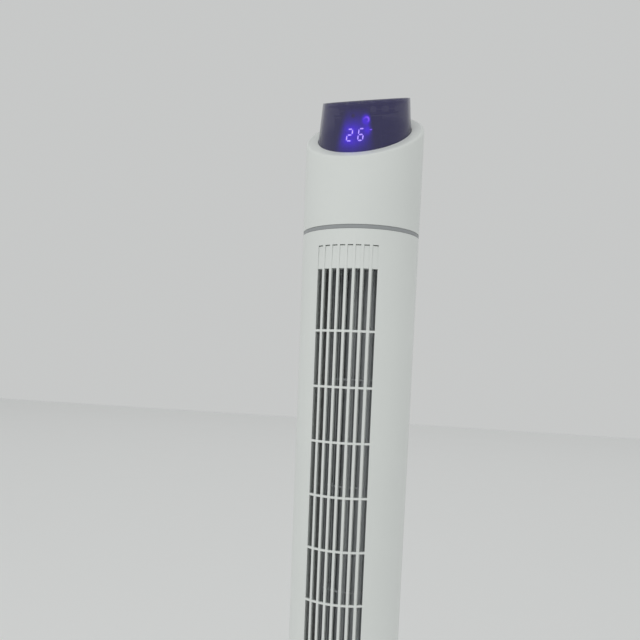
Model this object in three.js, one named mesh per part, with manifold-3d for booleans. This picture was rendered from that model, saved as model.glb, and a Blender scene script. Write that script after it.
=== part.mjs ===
// A free-standing tower fan: a swinging white column with a cross-flow impeller, on a round weighted base.
// Millimetres, +Z up, the front of the fan faces -Y, the origin is on the floor under the column's axis.
import * as THREE from 'three';
import { mergeVertices } from 'three/addons/utils/BufferGeometryUtils.js';
import Module from 'manifold-3d';

const wasm = await Module();
wasm.setup();

// ---- driving dimensions ----
const GAP = 0.3; // between fitted pieces
const RING_TOP = 925; // top edge of the grey trim ring
const RING_BAND = 4.4; // visible height of the trim ring
const COLUMN_R = 65;
const COLUMN_BOTTOM = 72;
const WALL = 2.6; // moulded shell thickness
const COLUMN_SIDES = 36; // facets round the column
const CROWN_SIDES = 48;
const SEAM_Y = 22; // the front and rear shells part here, behind the column's sides

const SLOTS = 8; // grille slots side by side
const SLOT_PITCH = 8.48;
const SLOT_WIDTH = 5.7;
const SLAT_DEPTH = 6; // radial depth of the slats between the slots
const RIB_COUNT = 11;
const RIB_PITCH = 59.74;
const RIB_HEIGHT = 2.4;
const RIB_DEPTH = 2.4; // the ribs are shallow strips level with the column's skin
const FIRST_RIB = RING_TOP - 110.3;
const SLOT_TOP = RING_TOP - 45.1; // open slots stop here, blind pockets go on above
const POCKET_TOP = RING_TOP - 21.4;
const POCKET_DEPTH = 3;
const SLOT_BOTTOM = FIRST_RIB - (RIB_COUNT - 1) * RIB_PITCH - (SLOT_TOP - FIRST_RIB);
const POCKET_BOTTOM = SLOT_BOTTOM - (POCKET_TOP - SLOT_TOP);

const COLLAR_FRONT = RING_TOP + 68.1; // height of the collar's rim at the front
const COLLAR_SLOPE = 0.65; // the rim rises towards the back

const CROWN_TOP_R = 48; // crown radius at the height CROWN_AXIS_TOP
const CROWN_AXIS_TOP = RING_TOP + 146.3;
const CROWN_FLARE = 0.085; // crown radius gained per millimetre downwards
const CROWN_SLOPE = 0.38; // the top face drops towards the front
const CROWN_WALL = 2.5;
const SKIRT_DEPTH = 16; // the crown reaches this far below the collar's rim
const KEY_PITCH = 14;

const BASE_R = 150;
const BASE_TOP = 56;
const BASE_SCREW_CIRCLE = 110; // radius at which the base's four screws stand
const FOOT_CIRCLE = 128;
const CORD_Z = 11.6; // height of the cord's hole in the base's rear wall
const POST_R = 14;
const GEAR_MODULE = 2;
const SECTOR_TEETH = 40; // teeth of the full circle that the sector is cut from
const PINION_TEETH = 18;
const GEAR_Z = 24;
const GEAR_THICK = 6;
const GEAR_CENTRES = GEAR_MODULE * (SECTOR_TEETH + PINION_TEETH) / 2;

const IMPELLER_Y = 8; // the impeller sits a little behind the column's axis
const IMPELLER_R = 36;
const IMPELLER_BOTTOM = 150;
const IMPELLER_TOP = 882;
const BLADES = 10;
const DISCS = 4;
const DUCT_HALF = 34.5; // half width of the outlet duct
const DUCT_MOUTH_Y = -50; // where the duct's walls meet the grille
const WIRE_X = -54; // the wires rise beside the scroll
const WIRE_Y = 14;

// ---- geometry helpers ----
const crownR = (z) => CROWN_TOP_R + CROWN_FLARE * (CROWN_AXIS_TOP - z);
const collarPlane = (drop) => ({ z: COLLAR_FRONT + COLLAR_SLOPE * COLUMN_R - drop, slope: COLLAR_SLOPE });
const crownPlane = (drop) => ({ z: CROWN_AXIS_TOP - drop, slope: CROWN_SLOPE });

function toSolid(geometry) {
  const bare = geometry.clone();
  bare.deleteAttribute('normal');
  bare.deleteAttribute('uv');
  const merged = mergeVertices(bare, 1e-4);
  const index = [];
  for (let i = 0; i < merged.index.count; i += 3) {
    const corner = [merged.index.getX(i), merged.index.getX(i + 1), merged.index.getX(i + 2)];
    if (new Set(corner).size === 3) index.push(...corner);
  }
  const p = merged.attributes.position.array;
  const at = (i) => new THREE.Vector3(p[3 * i], p[3 * i + 1], p[3 * i + 2]);
  let volume = 0;
  for (let i = 0; i < index.length; i += 3) {
    volume += at(index[i]).dot(at(index[i + 1]).cross(at(index[i + 2])));
  }
  if (volume < 0) index.reverse();
  const mesh = new wasm.Mesh({
    numProp: 3,
    vertProperties: new Float32Array(p),
    triVerts: new Uint32Array(index),
  });
  return new wasm.Manifold(mesh);
}

function toGeometry(solid) {
  const mesh = solid.getMesh();
  const geometry = new THREE.BufferGeometry();
  geometry.setAttribute('position', new THREE.BufferAttribute(new Float32Array(mesh.vertProperties), 3));
  geometry.setIndex(new THREE.BufferAttribute(new Uint32Array(mesh.triVerts), 1));
  geometry.computeVertexNormals();
  return geometry;
}

// a turned solid about Z; profile points are [radius, height]
function turned(profile, sides = 32) {
  const points = profile.map(([r, z]) => new THREE.Vector2(r, z));
  return toSolid(new THREE.LatheGeometry(points, sides).rotateX(Math.PI / 2));
}

function tube(inner, outer, z0, z1, sides = 32) {
  return turned([[inner, z0], [outer, z0], [outer, z1], [inner, z1], [inner, z0]], sides);
}

function disc(r, z0, z1, sides = 32) {
  return turned([[0, z0], [r, z0], [r, z1], [0, z1]], sides);
}

// a solid cone whose radius follows the function radius(z)
function cone(radius, z0, z1, sides) {
  return turned([[0, z0], [radius(z0), z0], [radius(z1), z1], [0, z1]], sides);
}

function block(x0, x1, y0, y1, z0, z1) {
  const box = new THREE.BoxGeometry(x1 - x0, y1 - y0, z1 - z0);
  return toSolid(box.translate((x0 + x1) / 2, (y0 + y1) / 2, (z0 + z1) / 2));
}

// a plain rod from z0 to z1, standing at x, y
function rod(r, z0, z1, x = 0, y = 0, sides = 12) {
  return disc(r, z0, z1, sides).translate([x, y, 0]);
}

// the space between two parallel slanted planes that drop towards the front
function slantedSlab(low, high) {
  const tilt = Math.atan(high.slope);
  const thick = (high.z - low.z) * Math.cos(tilt);
  const box = new THREE.BoxGeometry(400, 400, thick);
  box.translate(0, 0, -thick / 2);
  return toSolid(box.rotateX(tilt).translate(0, 0, high.z));
}

const below = (plane) => slantedSlab({ z: plane.z - 400, slope: plane.slope }, plane);

function extruded(points, z0, z1) {
  const shape = new THREE.Shape(points.map(([x, y]) => new THREE.Vector2(x, y)));
  const solid = new THREE.ExtrudeGeometry(shape, { depth: z1 - z0, bevelEnabled: false });
  return toSolid(solid.translate(0, 0, z0));
}

const union = (solids) => solids.reduce((all, one) => all.add(one));

// turns a solid that points along +Z so that it points outwards at an azimuth counted from the rear
function radially(solid, azimuth, z) {
  return solid.rotate([-90, 0, 0]).rotate([0, 0, -azimuth]).translate([0, 0, z]);
}

function finish(color, roughness, metalness = 0) {
  return new THREE.MeshStandardMaterial({ color, roughness, metalness });
}

const WHITE = finish(0xe9ebe7, 0.38);
const GREY_TRIM = finish(0xa0a4a6, 0.42);
const SMOKED = finish(0x2a2833, 0.08);
const DARK_PLASTIC = finish(0x26282b, 0.5);
const DUCT_GREY = finish(0xb9bcb8, 0.55);
const IMPELLER_GREY = finish(0x8b8f92, 0.55);
const RUBBER = finish(0x1c1c1c, 0.85);
const STEEL = finish(0xa8abaf, 0.35, 1);
const IRON = finish(0x4b4c4e, 0.7, 0.6);
const BOARD = finish(0x1d5a34, 0.6);
const DISPLAY = finish(0x14121c, 0.25);
const VIOLET = finish(0x5a2cff, 0.3);
const RED_WINDOW = finish(0x3a0d14, 0.2);
const NYLON = finish(0xf2efe4, 0.5);

function part(name, solid, material) {
  const mesh = new THREE.Mesh(toGeometry(solid), material);
  mesh.name = name;
  return mesh;
}

// ---- base ----
const BASE_SCREWS = [0, 1, 2, 3].map((i) => {
  const a = Math.PI / 4 + i * Math.PI / 2;
  return [BASE_SCREW_CIRCLE * Math.sin(a), BASE_SCREW_CIRCLE * Math.cos(a)];
});

function baseCover() {
  const dome = [[BASE_R, 5], [BASE_R, 14], [145, 21.5], [112, 32.5], [74, 46.5], [60, BASE_TOP]];
  const inside = dome.map(([r, z]) => [r - WALL, z - WALL]).reverse();
  inside.pop();
  const shell = turned([...dome, [24, BASE_TOP], [24, BASE_TOP - WALL], ...inside,
    [BASE_R - WALL, 5], [BASE_R, 5]], 48);
  const cordHole = disc(4.2, 140, 155, 16).rotate([-90, 0, 0]).translate([0, 0, CORD_Z]);
  const bosses = union(BASE_SCREWS.map(([x, y]) => rod(4.5, 12, 30, x, y)));
  const pilots = union(BASE_SCREWS.map(([x, y]) => rod(2, 0, 24, x, y)));
  return shell.subtract(cordHole).add(bosses).subtract(pilots);
}

function basePlate() {
  const plate = turned([[12, 4], [146.8, 4], [146.8, 9], [144, 9], [144, 6.5], [12, 6.5], [12, 4]], 48);
  const holes = union(BASE_SCREWS.map(([x, y]) => rod(2.4, 0, 10, x, y)));
  const cordNotch = block(-7, 7, 140, 150, 6.5, 10);
  return plate.subtract(holes).subtract(cordNotch);
}

function baseScrew() {
  return turned([[0, 1.8], [4, 1.8], [4, 3.7], [1.7, 3.7], [1.7, 22], [0, 23.5]], 12);
}

function foot() {
  return turned([[0, 0], [11, 0], [12, 1], [12, 3.7], [0, 3.7]], 16);
}

function ballastRing() {
  return tube(90, 104, 6.8, 20);
}

function pivotPost() {
  return turned([[10, 6.8], [30, 6.8], [30, 9.5], [POST_R, 9.5], [POST_R, 67.5], [10, 67.5], [10, 6.8]], 32);
}

function retainerNut() {
  const hexagon = disc(20, 64.4, 68, 6);
  return hexagon.subtract(rod(POST_R + GAP, 60, 70, 0, 0, 32));
}

function swivelBearing() {
  return tube(40, 50, BASE_TOP + GAP, 59.7, 32);
}

function cordGrommet() {
  const bush = turned([[2.8, 136], [3.9, 136], [3.9, 141], [4.9, 141], [4.9, 143.5], [3.9, 143.5],
    [3.9, 149.8], [2.8, 149.8], [2.8, 136]], 16);
  return bush.rotate([-90, 0, 0]).translate([0, 0, CORD_Z]);
}

function swingMotor() {
  const can = turned([[0, 6.8], [25, 6.8], [25, 20], [8, 20], [8, 22.5], [3.4, 22.5], [3.4, 12],
    [0, 12]]);
  const ears = block(-31, 31, -6, 6, 6.8, 8.8);
  return can.add(ears).translate([0, GEAR_CENTRES, 0]);
}

// points of one involute flank, from the base circle to the tip, as [radius, angle off the tooth's middle]
function flank(teeth, backlash) {
  const pitchR = GEAR_MODULE * teeth / 2;
  const pressure = THREE.MathUtils.degToRad(20);
  const baseR = pitchR * Math.cos(pressure);
  const involute = (r) => {
    const a = Math.acos(Math.min(1, baseR / r));
    return Math.tan(a) - a;
  };
  const half = (Math.PI * GEAR_MODULE / 2 - backlash) / (2 * pitchR);
  const tip = pitchR + 0.9 * GEAR_MODULE;
  return [Math.max(baseR, pitchR - 0.9 * GEAR_MODULE), pitchR, tip].map(
    (r) => [r, half + involute(pitchR) - involute(r)],
  );
}

// an involute gear outline; firstTooth and count pick a sector, whose other teeth stay at the root circle
function gearOutline(teeth, count, phase) {
  const root = GEAR_MODULE * (teeth / 2 - 1.25);
  const points = [];
  const push = (r, a) => points.push([r * Math.cos(a), r * Math.sin(a)]);
  const sides = flank(teeth, 0.4);
  for (let i = 0; i < teeth; i += 1) {
    const middle = phase + i * 2 * Math.PI / teeth;
    const fromSector = Math.min(i, teeth - i);
    if (fromSector > count / 2) {
      push(root, middle);
      continue;
    }
    push(root, middle - sides[0][1] - 0.01);
    sides.forEach(([r, a]) => push(r, middle - a));
    [...sides].reverse().forEach(([r, a]) => push(r, middle + a));
    push(root, middle + sides[0][1] + 0.01);
  }
  return points;
}

function swingPinion() {
  const gear = extruded(gearOutline(PINION_TEETH, PINION_TEETH, -Math.PI / 2), GEAR_Z, GEAR_Z + GEAR_THICK);
  return gear.add(rod(3, 12.4, GEAR_Z + 1));
}

// ---- swinging column ----
function sectorGear() {
  const toothGap = Math.PI / SECTOR_TEETH; // a gap, not a tooth, faces the pinion at rest
  const outline = gearOutline(SECTOR_TEETH, 16, Math.PI / 2 + toothGap);
  return extruded(outline, GEAR_Z, GEAR_Z + GEAR_THICK).subtract(rod(19.3, 0, 60, 0, 0, 32));
}

function turntable() {
  return turned([[POST_R + 0.4, 22], [19, 22], [19, 60], [64, 60], [64, 62.7], [POST_R + 0.4, 62.7],
    [POST_R + 0.4, 22]]);
}

function bottomCap() {
  return turned([[24, 63], [63, 63], [COLUMN_R, COLUMN_BOTTOM - GAP], [56, COLUMN_BOTTOM - GAP],
    [56, 66], [24, 66], [24, 63]], COLUMN_SIDES);
}

function columnWall() {
  return tube(COLUMN_R - WALL, COLUMN_R, COLUMN_BOTTOM, RING_TOP - RING_BAND - GAP, COLUMN_SIDES);
}

function frontShell() {
  const shell = columnWall().subtract(block(-80, 80, SEAM_Y, 80, 0, 1000));
  const half = SLOTS * SLOT_PITCH / 2;
  const field = block(-half, half, -80, -30, POCKET_BOTTOM - 4, POCKET_TOP + 4);
  const backing = tube(COLUMN_R - SLAT_DEPTH, COLUMN_R, 0, RING_TOP, COLUMN_SIDES).intersect(field);
  const cuts = [];
  for (let i = 0; i < SLOTS; i += 1) {
    const x = (i - (SLOTS - 1) / 2) * SLOT_PITCH;
    cuts.push(block(x - SLOT_WIDTH / 2, x + SLOT_WIDTH / 2, -80, -30, POCKET_BOTTOM, POCKET_TOP));
  }
  const ribs = [];
  for (let i = 0; i < RIB_COUNT; i += 1) {
    const z = FIRST_RIB - i * RIB_PITCH;
    ribs.push(block(-half, half, -80, -30, z - RIB_HEIGHT / 2, z + RIB_HEIGHT / 2));
  }
  const pocketFloor = disc(COLUMN_R - POCKET_DEPTH, 0, RING_TOP, COLUMN_SIDES);
  const blind = block(-half, half, -80, -30, SLOT_TOP, POCKET_TOP)
    .add(block(-half, half, -80, -30, POCKET_BOTTOM, SLOT_BOTTOM))
    .intersect(pocketFloor);
  const shallowRibs = union(ribs).subtract(disc(COLUMN_R - RIB_DEPTH, 0, RING_TOP, COLUMN_SIDES));
  const openings = union(cuts).subtract(shallowRibs).subtract(blind);
  return shell.add(backing).subtract(openings);
}

const INTAKE_COLUMNS = 9;
const INTAKE_STEP = 10; // degrees between intake slots
const INTAKE_ROWS = 5;
const INTAKE_ROW_PITCH = 140;
const INTAKE_BOTTOM = 150;
const SCREW_AZIMUTH = 58; // degrees off the rear, both sides
const SCREW_HEIGHTS = [104, 896];

function rearShell() {
  const shell = columnWall().subtract(block(-80, 80, -80, SEAM_Y + GAP, 0, 1000));
  const slots = [];
  for (let i = 0; i < INTAKE_COLUMNS; i += 1) {
    const azimuth = (i - (INTAKE_COLUMNS - 1) / 2) * INTAKE_STEP;
    for (let row = 0; row < INTAKE_ROWS; row += 1) {
      const z = INTAKE_BOTTOM + row * INTAKE_ROW_PITCH;
      slots.push(block(-3, 3, 50, 80, z, z + INTAKE_ROW_PITCH - 8).rotate([0, 0, -azimuth]));
    }
  }
  const bosses = [];
  const bores = [];
  for (const z of SCREW_HEIGHTS) {
    for (const azimuth of [-SCREW_AZIMUTH, SCREW_AZIMUTH]) {
      bosses.push(radially(disc(5.5, COLUMN_R - 12, COLUMN_R - 1, 12), azimuth, z));
      const bore = disc(2.3, COLUMN_R - 13, COLUMN_R, 12).add(disc(4.3, COLUMN_R - 2.2, COLUMN_R + 2, 12));
      bores.push(radially(bore, azimuth, z));
    }
  }
  return shell.add(union(bosses)).subtract(union(slots)).subtract(union(bores));
}

function shellScrew(azimuth, z) {
  const head = COLUMN_R - 0.4;
  const screw = turned([[0, head - 15.6], [1.8, head - 14.6], [1.8, head - 1.5], [3.9, head - 1.5],
    [3.9, head - 0.5], [3, head], [0, head]], 12);
  return radially(screw, azimuth, z);
}

// the scroll: a wall that leaves the outlet's left edge and winds out round the rear of the impeller
function ductScroll() {
  const inner = [[-DUCT_HALF, DUCT_MOUTH_Y]];
  const outer = [[-DUCT_HALF - 2, DUCT_MOUTH_Y]];
  const steps = 7;
  for (let i = 0; i <= steps; i += 1) {
    const turn = i / steps;
    const a = THREE.MathUtils.degToRad(205 - 75 * turn);
    const r = IMPELLER_R + 4 + 5 * (1 - turn);
    inner.push([r * Math.cos(a), IMPELLER_Y + r * Math.sin(a)]);
    outer.push([(r + 2) * Math.cos(a), IMPELLER_Y + (r + 2) * Math.sin(a)]);
  }
  return extruded([...inner, ...outer.reverse()], IMPELLER_BOTTOM - 4, IMPELLER_TOP + 4);
}

// the tongue: the wall at the outlet's right edge, which ends in a lip close to the impeller
function ductTongue() {
  const outline = [[DUCT_HALF, DUCT_MOUTH_Y], [DUCT_HALF, -20], [37, -10], [40.5, -4], [43, -4], [40, -12],
    [DUCT_HALF + 2, -21], [DUCT_HALF + 2, DUCT_MOUTH_Y]];
  return extruded(outline, IMPELLER_BOTTOM - 4, IMPELLER_TOP + 4);
}

function ductFloor() {
  const wireNotch = rod(3.2, 140, 150, WIRE_X, WIRE_Y);
  const motorHole = rod(15, 140, 150, 0, IMPELLER_Y, 24);
  return disc(57, 142, 145.5).subtract(motorHole).subtract(wireNotch);
}

function ductRoof() {
  const bottom = IMPELLER_TOP + 4.5;
  const boss = rod(14, bottom, bottom + 15.5, 0, IMPELLER_Y, 24);
  const bearingSeat = rod(9, bottom - 1, bottom + 9.5, 0, IMPELLER_Y, 24);
  const pinHole = rod(4.5, bottom + 5, bottom + 16, 0, IMPELLER_Y, 16);
  return disc(57, bottom, bottom + 3.5).add(boss).subtract(bearingSeat).subtract(pinHole);
}

function fanMotor() {
  const can = turned([[0, 76], [20, 76], [24, 80], [38, 84], [38, 124], [30, 130], [18, 130], [18, 134],
    [4.4, 134], [4.4, 80], [0, 80]], 32);
  return can.translate([0, IMPELLER_Y, 0]);
}

function motorBracket() {
  return disc(57, 135, 138).subtract(rod(21, 130, 145, 0, IMPELLER_Y, 24));
}

function topBearing() {
  return tube(4.4, 8.6, IMPELLER_TOP + 4.8, IMPELLER_TOP + 13.6, 24).translate([0, IMPELLER_Y, 0]);
}

// the impeller: blades round a ring, held by discs; it turns about its own upright axis
function impeller() {
  const blade = new THREE.BoxGeometry(8, 1.3, IMPELLER_TOP - IMPELLER_BOTTOM);
  blade.rotateZ(THREE.MathUtils.degToRad(32));
  blade.translate(IMPELLER_R - 4.6, 0, (IMPELLER_TOP + IMPELLER_BOTTOM) / 2);
  const blades = [];
  for (let i = 0; i < BLADES; i += 1) {
    blades.push(toSolid(blade.clone().rotateZ(i * 2 * Math.PI / BLADES)));
  }
  const discs = [];
  for (let i = 0; i < DISCS; i += 1) {
    const z = IMPELLER_BOTTOM + i * (IMPELLER_TOP - IMPELLER_BOTTOM - 2) / (DISCS - 1);
    const hollow = i > 0 && i < DISCS - 1;
    discs.push(hollow ? tube(20, IMPELLER_R, z, z + 2, 24) : disc(IMPELLER_R, z, z + 2, 24));
  }
  const hub = rod(10, IMPELLER_BOTTOM, IMPELLER_BOTTOM + 22, 0, 0, 16);
  const bore = rod(4.4, IMPELLER_BOTTOM - 1, IMPELLER_BOTTOM + 18);
  const topBore = rod(4.4, IMPELLER_TOP - 10, IMPELLER_TOP + 1);
  const topHub = rod(8, IMPELLER_TOP - 14, IMPELLER_TOP, 0, 0, 16);
  return union([...blades, ...discs, hub, topHub]).subtract(bore).subtract(topBore);
}

function motorShaft() {
  return rod(4, 82, IMPELLER_BOTTOM + 17.6);
}

function bearingPin() {
  return rod(4, IMPELLER_TOP - 9.6, IMPELLER_TOP + 22);
}

// ---- head ----
function trimRing() {
  return tube(59.5, COLUMN_R, RING_TOP - RING_BAND, RING_TOP, COLUMN_SIDES);
}

const HANDLE = { halfWidth: 32, bottom: RING_TOP + 64, top: RING_TOP + 98, floorY: 38 };

function headHousing() {
  const bottom = RING_TOP + GAP;
  const lip = collarPlane(0);
  const column = disc(COLUMN_R, bottom, RING_TOP + 170, COLUMN_SIDES);
  const inside = disc(COLUMN_R - WALL, bottom - 1, RING_TOP + 180, COLUMN_SIDES)
    .intersect(below(collarPlane(WALL)));
  const crownHole = cone((z) => crownR(z) + 0.4, RING_TOP + 20, RING_TOP + 200, CROWN_SIDES);
  const handle = block(-HANDLE.halfWidth, HANDLE.halfWidth, HANDLE.floorY, 90, HANDLE.bottom, HANDLE.top);
  return column.intersect(below(lip)).subtract(inside).subtract(crownHole).subtract(handle);
}

function handleCup() {
  const outerBox = block(-HANDLE.halfWidth + GAP, HANDLE.halfWidth - GAP, HANDLE.floorY, 90,
    HANDLE.bottom + GAP, HANDLE.top - GAP);
  const hollow = block(-HANDLE.halfWidth + 2.5, HANDLE.halfWidth - 2.5, HANDLE.floorY + 2.2, 90,
    HANDLE.bottom + 2.5, HANDLE.top - 2.5);
  return outerBox.subtract(hollow).intersect(disc(COLUMN_R, RING_TOP, RING_TOP + 170, COLUMN_SIDES));
}

function crownBody(inset) {
  return cone((z) => crownR(z) - inset, RING_TOP + 30, RING_TOP + 200, CROWN_SIDES);
}

function crownLens() {
  const ring = crownBody(0).subtract(crownBody(CROWN_WALL));
  const span = below(crownPlane(0)).subtract(below(collarPlane(SKIRT_DEPTH)));
  return ring.intersect(span);
}

function crownTray() {
  const slab = slantedSlab(collarPlane(SKIRT_DEPTH + GAP + 2.2), collarPlane(SKIRT_DEPTH + GAP));
  const wireHole = rod(8, RING_TOP, RING_TOP + 200, 30, 10);
  return slab.intersect(disc(60.5, RING_TOP, RING_TOP + 200)).subtract(wireHole);
}

const PANEL_DROP = 2.4; // the key panel lies below the crown's edge
const PANEL_THICK = 2.4;
const KEY_NAMES = ['key_power', 'key_speed', 'key_mode', 'key_timer', 'key_swing'];
const KEY_LENGTH = 17;
const KEY_WIDTH = 10;
const keyX = (i) => (i - (KEY_NAMES.length - 1) / 2) * KEY_PITCH;

// a lozenge with round ends, long across the fan's depth, standing on the key panel's own plane
function keyOutline(inset) {
  const r = KEY_WIDTH / 2 - inset;
  const reach = (KEY_LENGTH - KEY_WIDTH) / 2;
  const points = [];
  const steps = 4;
  for (const [start, side] of [[0, 1], [Math.PI, -1]]) {
    for (let i = 0; i <= steps; i += 1) {
      const a = start + i * Math.PI / steps;
      points.push([r * Math.cos(a), side * reach + r * Math.sin(a)]);
    }
  }
  return points;
}

// heights are measured along the normal of the crown's top face, from that face
function keyCap() {
  const stem = rod(1.8, -9.2, -4, 0, 0, 8);
  const flange = extruded(keyOutline(-0.9), -6.4, -5.4);
  return extruded(keyOutline(0), -6.2, -1.2).add(flange).add(stem);
}

const CROWN_TILT = Math.atan(CROWN_SLOPE);

function onCrownTop(solid) {
  return solid.rotate([THREE.MathUtils.radToDeg(CROWN_TILT), 0, 0]).translate([0, 0, CROWN_AXIS_TOP]);
}

function keyPanel() {
  const slab = slantedSlab(crownPlane(PANEL_DROP + PANEL_THICK), crownPlane(PANEL_DROP));
  const plate = slab.intersect(crownBody(CROWN_WALL + GAP));
  const hole = extruded(keyOutline(-0.35), -20, 20);
  const holes = KEY_NAMES.map((_, i) => onCrownTop(hole.translate([keyX(i), 0, 0])));
  return plate.subtract(union(holes));
}

function keyBoard() {
  const outline = disc(36, RING_TOP, RING_TOP + 200);
  const plate = slantedSlab(crownPlane(15.4), crownPlane(13.8)).intersect(outline);
  const tact = block(-3, 3, -3, 3, -13.6, -10.3);
  const switches = KEY_NAMES.map((_, i) => onCrownTop(tact.translate([keyX(i), 0, 0])));
  return union([plate, ...switches]);
}

const DISPLAY_Y = -44.5;
const DISPLAY_Z = RING_TOP + 95.6;

function displayBoard() {
  return block(-26, 26, -36.3, -34.7, DISPLAY_Z - 11, DISPLAY_Z + 20.5);
}

function ledDisplay() {
  return block(-12.5, 12.5, DISPLAY_Y, -36.6, DISPLAY_Z - 9.5, DISPLAY_Z + 9.5);
}

function lamp(x, z, r) {
  const body = turned([[0, 0], [r, 0], [r, 5], [r * 0.7, 6.6], [0, 7.4]], 16);
  return body.rotate([90, 0, 0]).translate([x, -36.6, z]);
}

function controlBoard() {
  return block(-44, 44, 12, 13.6, RING_TOP + 12, RING_TOP + 58);
}

function transformer() {
  return block(-34, -6, -14, 11.7, RING_TOP + 16, RING_TOP + 42);
}

function runCapacitor() {
  return block(4, 38, -6, 11.7, RING_TOP + 18, RING_TOP + 40);
}

function headDeck() {
  return disc(61.5, RING_TOP + 1.5, RING_TOP + 4).subtract(rod(9, RING_TOP, RING_TOP + 5, 40, 25));
}

// the sleeved wires that rise from the motor to the head
function wireHarness() {
  return rod(2, 139, IMPELLER_TOP + 2, WIRE_X, WIRE_Y, 8);
}

// ---- assembly ----
const fan = new THREE.Group();

const base = new THREE.Group();
base.add(part('base_cover', baseCover(), WHITE));
base.add(part('base_plate', basePlate(), DARK_PLASTIC));
base.add(part('ballast_ring', ballastRing(), IRON));
base.add(part('pivot_post', pivotPost(), STEEL));
base.add(part('retainer_nut', retainerNut(), STEEL));
base.add(part('swivel_bearing', swivelBearing(), NYLON));
base.add(part('cord_grommet', cordGrommet(), RUBBER));
base.add(part('swing_motor', swingMotor(), STEEL));
BASE_SCREWS.forEach(([x, y], i) => {
  const screw = part(`base_screw_${i + 1}`, baseScrew(), STEEL);
  screw.position.set(x, y, 0);
  base.add(screw);
});
for (let i = 0; i < 5; i += 1) {
  const pad = part(`foot_${i + 1}`, foot(), RUBBER);
  const a = i * 2 * Math.PI / 5;
  pad.position.set(FOOT_CIRCLE * Math.sin(a), -FOOT_CIRCLE * Math.cos(a), 0);
  base.add(pad);
}
fan.add(base);

const pinion = part('swing_pinion', swingPinion(), NYLON);
pinion.position.set(0, GEAR_CENTRES, 0);
fan.add(pinion);

const tower = new THREE.Group();
tower.add(part('turntable', turntable(), DARK_PLASTIC));
tower.add(part('sector_gear', sectorGear(), NYLON));
tower.add(part('bottom_cap', bottomCap(), WHITE));
tower.add(part('front_shell', frontShell(), WHITE));
tower.add(part('rear_shell', rearShell(), WHITE));
tower.add(part('duct_scroll', ductScroll(), DUCT_GREY));
tower.add(part('duct_tongue', ductTongue(), DUCT_GREY));
tower.add(part('duct_floor', ductFloor(), DUCT_GREY));
tower.add(part('duct_roof', ductRoof(), DUCT_GREY));
tower.add(part('fan_motor', fanMotor(), STEEL));
tower.add(part('motor_bracket', motorBracket(), STEEL));
tower.add(part('top_bearing', topBearing(), NYLON));
tower.add(part('wire_harness', wireHarness(), RUBBER));
tower.add(part('trim_ring', trimRing(), GREY_TRIM));
tower.add(part('head_deck', headDeck(), WHITE));
tower.add(part('head_housing', headHousing(), WHITE));
tower.add(part('handle_cup', handleCup(), WHITE));
tower.add(part('control_board', controlBoard(), BOARD));
tower.add(part('transformer', transformer(), IRON));
tower.add(part('run_capacitor', runCapacitor(), DARK_PLASTIC));
tower.add(part('crown_tray', crownTray(), DARK_PLASTIC));
tower.add(part('crown_lens', crownLens(), SMOKED));
tower.add(part('key_panel', keyPanel(), SMOKED));
tower.add(part('key_board', keyBoard(), BOARD));
tower.add(part('display_board', displayBoard(), BOARD));
tower.add(part('led_display', ledDisplay(), DISPLAY));
tower.add(part('lamp_night', lamp(11.4, DISPLAY_Z + 15.1, 2.5), VIOLET));
tower.add(part('lamp_degree', lamp(16.2, DISPLAY_Z + 4.4, 1.8), VIOLET));
tower.add(part('ir_receiver', lamp(-3.5, DISPLAY_Z + 19.5, 2.5), RED_WINDOW));
SCREW_HEIGHTS.forEach((z, row) => {
  [-SCREW_AZIMUTH, SCREW_AZIMUTH].forEach((azimuth, side) => {
    tower.add(part(`shell_screw_${2 * row + side + 1}`, shellScrew(azimuth, z), STEEL));
  });
});
fan.add(tower);

const rotor = new THREE.Group();
rotor.position.set(0, IMPELLER_Y, 0);
rotor.add(part('impeller', impeller(), IMPELLER_GREY));
rotor.add(part('motor_shaft', motorShaft(), STEEL));
rotor.add(part('bearing_pin', bearingPin(), STEEL));
fan.add(rotor);

const keys = new THREE.Group();
keys.position.set(0, 0, CROWN_AXIS_TOP);
keys.rotation.x = CROWN_TILT;
KEY_NAMES.forEach((name, i) => {
  const key = part(name, keyCap(), DARK_PLASTIC);
  key.position.set(keyX(i), 0, 0);
  keys.add(key);
});
fan.add(keys);

export default fan;
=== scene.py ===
import math

import bmesh
import bpy
from mathutils import Matrix, Vector


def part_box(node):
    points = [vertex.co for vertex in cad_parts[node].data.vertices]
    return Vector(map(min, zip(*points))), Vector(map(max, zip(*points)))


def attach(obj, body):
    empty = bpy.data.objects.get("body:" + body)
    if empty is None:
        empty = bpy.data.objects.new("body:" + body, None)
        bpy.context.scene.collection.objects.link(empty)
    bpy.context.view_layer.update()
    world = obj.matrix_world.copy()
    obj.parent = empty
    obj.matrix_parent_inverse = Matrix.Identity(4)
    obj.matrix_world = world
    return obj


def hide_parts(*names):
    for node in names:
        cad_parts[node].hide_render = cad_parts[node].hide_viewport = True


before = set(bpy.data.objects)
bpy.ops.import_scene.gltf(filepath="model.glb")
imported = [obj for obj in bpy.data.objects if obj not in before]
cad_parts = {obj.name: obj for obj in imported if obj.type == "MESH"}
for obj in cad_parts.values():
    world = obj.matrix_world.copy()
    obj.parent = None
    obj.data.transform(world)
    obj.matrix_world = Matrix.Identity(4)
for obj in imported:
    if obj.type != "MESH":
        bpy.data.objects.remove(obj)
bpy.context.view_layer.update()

# Shapes are worked out in millimetres, in the frame's own axes: +Z up, the front faces -Y.
MM = 0.001


def low(node, axis):
    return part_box(node)[0][axis] / MM


def high(node, axis):
    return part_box(node)[1][axis] / MM


X, Y, Z = 0, 1, 2

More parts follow.
